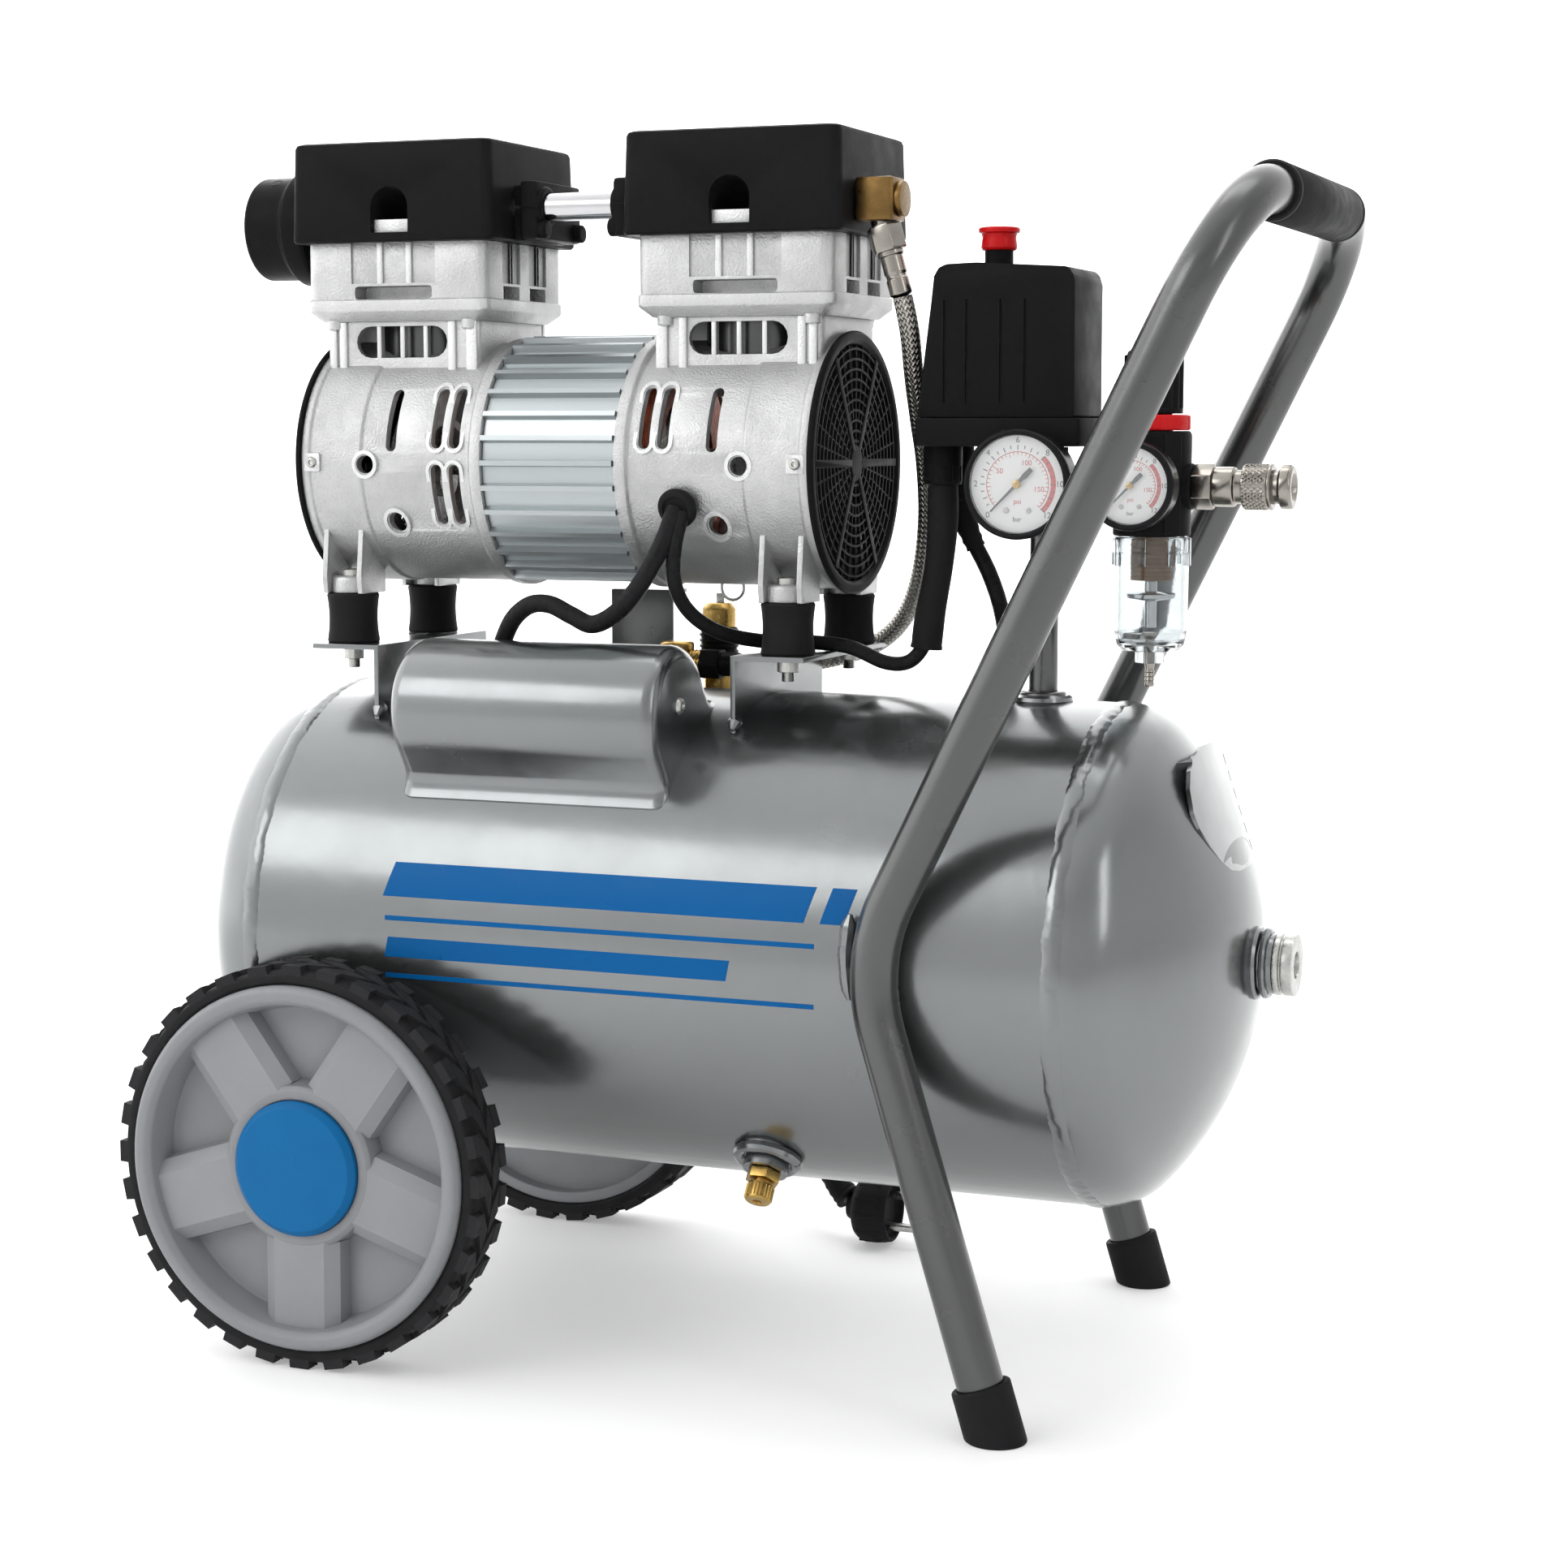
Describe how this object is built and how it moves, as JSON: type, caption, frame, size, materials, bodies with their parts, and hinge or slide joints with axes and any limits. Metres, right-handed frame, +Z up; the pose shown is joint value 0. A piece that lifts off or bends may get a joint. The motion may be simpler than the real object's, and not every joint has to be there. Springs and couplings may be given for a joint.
{
  "type": "portable air compressor",
  "caption": "Portable oil-free piston air compressor on a wheeled horizontal tank, with bent tube handle, pressure switch, gauges, filter regulator and quick coupler.",
  "frame": {"origin": "centre of the footprint of the object without its mains lead, on the floor", "axes": "+X towards the handle and air outlet, +Z up, -Y the side that carries the gauges and the capacitor cover"},
  "size_m": [0.5793, 0.5597, 0.6014],
  "materials": {
    "tank_paint": "gloss metallic silver",
    "frame_paint": "satin metallic grey",
    "cast_alloy": "sand cast, lightly blasted",
    "extruded_alloy": "extruded, satin",
    "plated_steel": "zinc plated",
    "nickel": "nickel plated",
    "braid": "woven stainless braid",
    "brass": "machined",
    "copper_iron": "varnished windings and laminations",
    "cover_plastic": "fine grain moulded black",
    "manifold_paint": "black cast",
    "gauge_black": "gloss moulded black",
    "soft_black": "soft moulded rubber",
    "tread": "solid rubber",
    "wheel_grey": "moulded grey",
    "cap_blue": "moulded blue",
    "signal_red": "moulded red",
    "clear_bowl": "clear moulded bowl",
    "filter_brown": "sintered filter"
  },
  "bodies": {
    "frame": {"tank_shell": "tank_paint", "tank_heads": "tank_paint", "front_plug": "plated_steel", "data_plate_bracket": "frame_paint", "handle_frame": "frame_paint", "handle_grip": "soft_black", "foot_caps": "soft_black", "wheel_brackets": "frame_paint", "mount_brackets": "frame_paint", "rubber_mounts": "soft_black", "fasteners": "plated_steel", "capacitor_cover": "tank_paint", "run_capacitor": "extruded_alloy", "housing_left": "cast_alloy", "housing_right": "cast_alloy", "cylinder_sleeves": "plated_steel", "cylinder_heads": "cast_alloy", "top_covers": "cover_plastic", "stator_shell": "extruded_alloy", "stator": "copper_iron", "fan_guards": "cover_plastic", "crossover_pipe": "cover_plastic", "intake_filter": "cover_plastic", "hose_fittings": "brass", "discharge_hose": "braid", "check_valve": "brass", "valve_bracket": "frame_paint", "safety_valve": "brass", "riser_pipe": "frame_paint", "manifold": "manifold_paint", "switch_base": "cover_plastic", "switch_cover": "cover_plastic", "gauge_main": "gauge_black", "gauge_outlet": "gauge_black", "regulator_body": "cover_plastic", "regulator_ring": "signal_red", "filter_bowl": "clear_bowl", "filter_element": "filter_brown", "coupler_body": "nickel", "motor_cables": "soft_black", "power_cord": "soft_black", "power_cord_coil": "soft_black", "power_plug": "soft_black"},
    "near_wheel": {"wheel_near": "wheel_grey", "tyre_near": "tread", "wheel_cap_near": "cap_blue"},
    "far_wheel": {"wheel_far": "wheel_grey", "tyre_far": "tread", "wheel_cap_far": "cap_blue"},
    "rotor_group": {"rotor": "plated_steel", "cooling_fans": "cover_plastic"},
    "left_piston": {"piston_left": "cast_alloy"},
    "right_piston": {"piston_right": "cast_alloy"},
    "pressure_button": {"switch_button": "signal_red"},
    "tank_needle": {"gauge_main_needle": "gauge_black"},
    "outlet_needle": {"gauge_outlet_needle": "gauge_black"},
    "pressure_knob": {"regulator_knob": "cover_plastic"},
    "water_drain": {"bowl_drain": "cover_plastic"},
    "release_sleeve": {"coupler_sleeve": "nickel"},
    "tank_drain": {"drain_cock": "brass"}
  },
  "joints": [
    {"name": "near_wheel_spin", "type": "hinge", "parent": "frame", "child": "near_wheel", "pos_m": [-0.1755, -0.146, 0.1004], "axis": [0, 1, 0], "continuous": true},
    {"name": "far_wheel_spin", "type": "hinge", "parent": "frame", "child": "far_wheel", "pos_m": [-0.1755, 0.146, 0.1004], "axis": [0, 1, 0], "continuous": true},
    {"name": "rotor_spin", "type": "hinge", "parent": "frame", "child": "rotor_group", "pos_m": [-0.0846, 0, 0.441], "axis": [1, 0, 0], "continuous": true},
    {"name": "left_piston_stroke", "type": "slide", "parent": "frame", "child": "left_piston", "axis": [0, 0, 1], "range_m": [0, 0.016]},
    {"name": "right_piston_stroke", "type": "slide", "parent": "frame", "child": "right_piston", "axis": [0, 0, 1], "range_m": [-0.016, 0]},
    {"name": "pressure_button_press", "type": "slide", "parent": "frame", "child": "pressure_button", "axis": [0, 0, 1], "range_m": [-0.006, 0]},
    {"name": "tank_needle_turn", "type": "hinge", "parent": "frame", "child": "tank_needle", "pos_m": [0.1524, -0.047, 0.432], "axis": [0, 1, 0], "range_deg": [0, 270], "stiffness_Nm_per_rad": 0.0002},
    {"name": "outlet_needle_turn", "type": "hinge", "parent": "frame", "child": "outlet_needle", "pos_m": [0.2054, -0.042, 0.4315], "axis": [0, 1, 0], "range_deg": [0, 270], "stiffness_Nm_per_rad": 0.0002},
    {"name": "pressure_knob_turn", "type": "hinge", "parent": "frame", "child": "pressure_knob", "pos_m": [0.2054, 0, 0.48], "axis": [0, 0, 1], "range_deg": [-540, 540]},
    {"name": "water_drain_press", "type": "slide", "parent": "frame", "child": "water_drain", "axis": [0, 0, 1], "range_m": [0, 0.002], "stiffness_N_per_m": 300},
    {"name": "release_sleeve_pull", "type": "slide", "parent": "frame", "child": "release_sleeve", "axis": [1, 0, 0], "range_m": [-0.0034, 0], "stiffness_N_per_m": 800},
    {"name": "tank_drain_turn", "type": "hinge", "parent": "frame", "child": "tank_drain", "pos_m": [0.0384, -0.07508, 0.10721], "axis": [0, -0.6129, -0.7902], "range_deg": [0, 720]}
  ]
}
